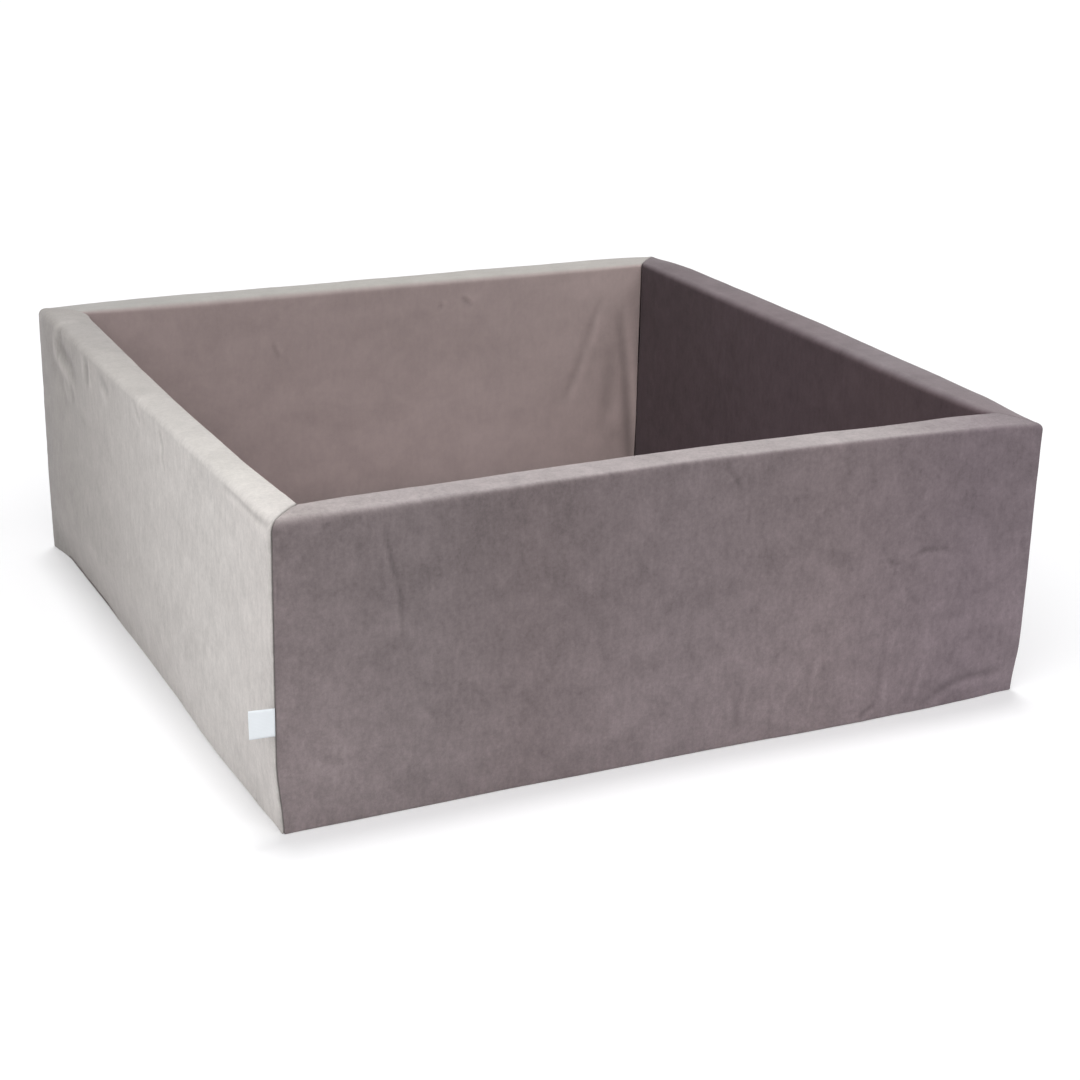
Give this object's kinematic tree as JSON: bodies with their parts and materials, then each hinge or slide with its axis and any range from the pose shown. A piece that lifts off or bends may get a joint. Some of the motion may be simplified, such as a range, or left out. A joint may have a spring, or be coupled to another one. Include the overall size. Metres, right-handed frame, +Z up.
{
  "type": "ball pit",
  "caption": "Square soft ball pit: foam walls in a velvet sleeve with a zip underneath, a loose foam floor mat that lifts out, and a sewn tag.",
  "frame": {"origin": "on the floor, at the middle of the ring of walls", "axes": "+X along the front wall, from the tagged corner to the right; +Y from the front wall to the back wall; +Z up"},
  "size_m": [1.133, 1.1, 0.404],
  "materials": {
    "velvet_left": "matte",
    "velvet_front": "matte",
    "velvet_back": "matte",
    "velvet_right": "matte",
    "velvet_mat": "matte",
    "foam": "matte",
    "lining": "matte",
    "zip_tape": "matte",
    "zip_metal": "satin",
    "satin": "satin"
  },
  "bodies": {
    "ring": {"cover_front": "velvet_front", "cover_right": "velvet_right", "cover_back": "velvet_back", "cover_left": "velvet_left", "foam_front": "foam", "foam_right": "foam", "foam_back": "foam", "foam_left": "foam", "wall_zip_outer": "zip_tape", "wall_zip_inner": "zip_tape", "sewn_tag": "satin"},
    "wall_slider": {"wall_zip_slider": "zip_metal"},
    "wall_tab": {"wall_zip_pull": "zip_metal"},
    "mat": {"mat_top": "velvet_mat", "mat_border": "velvet_mat", "mat_foam": "foam", "mat_base": "lining", "mat_zip_front": "zip_tape", "mat_zip_back": "zip_tape"},
    "mat_slider": {"mat_zip_slider": "zip_metal"},
    "mat_tab": {"mat_zip_pull": "zip_metal"}
  },
  "joints": [
    {"name": "mat_lift", "type": "slide", "parent": "ring", "child": "mat", "axis": [0, 0, 1], "range_m": [0, 0.45]},
    {"name": "wall_zip_slide", "type": "slide", "parent": "ring", "child": "wall_slider", "axis": [1, 0, 0], "range_m": [0, 0.94]},
    {"name": "wall_zip_tab_hinge", "type": "hinge", "parent": "wall_slider", "child": "wall_tab", "pos_m": [-0.47, -0.524, 0.00145], "axis": [0, 1, 0], "range_deg": [0, 175]},
    {"name": "mat_zip_slide", "type": "slide", "parent": "mat", "child": "mat_slider", "axis": [1, 0, 0], "range_m": [0, 0.796]},
    {"name": "mat_zip_tab_hinge", "type": "hinge", "parent": "mat_slider", "child": "mat_tab", "pos_m": [-0.398, -0.3672, 0.00145], "axis": [0, 1, 0], "range_deg": [0, 175]}
  ]
}
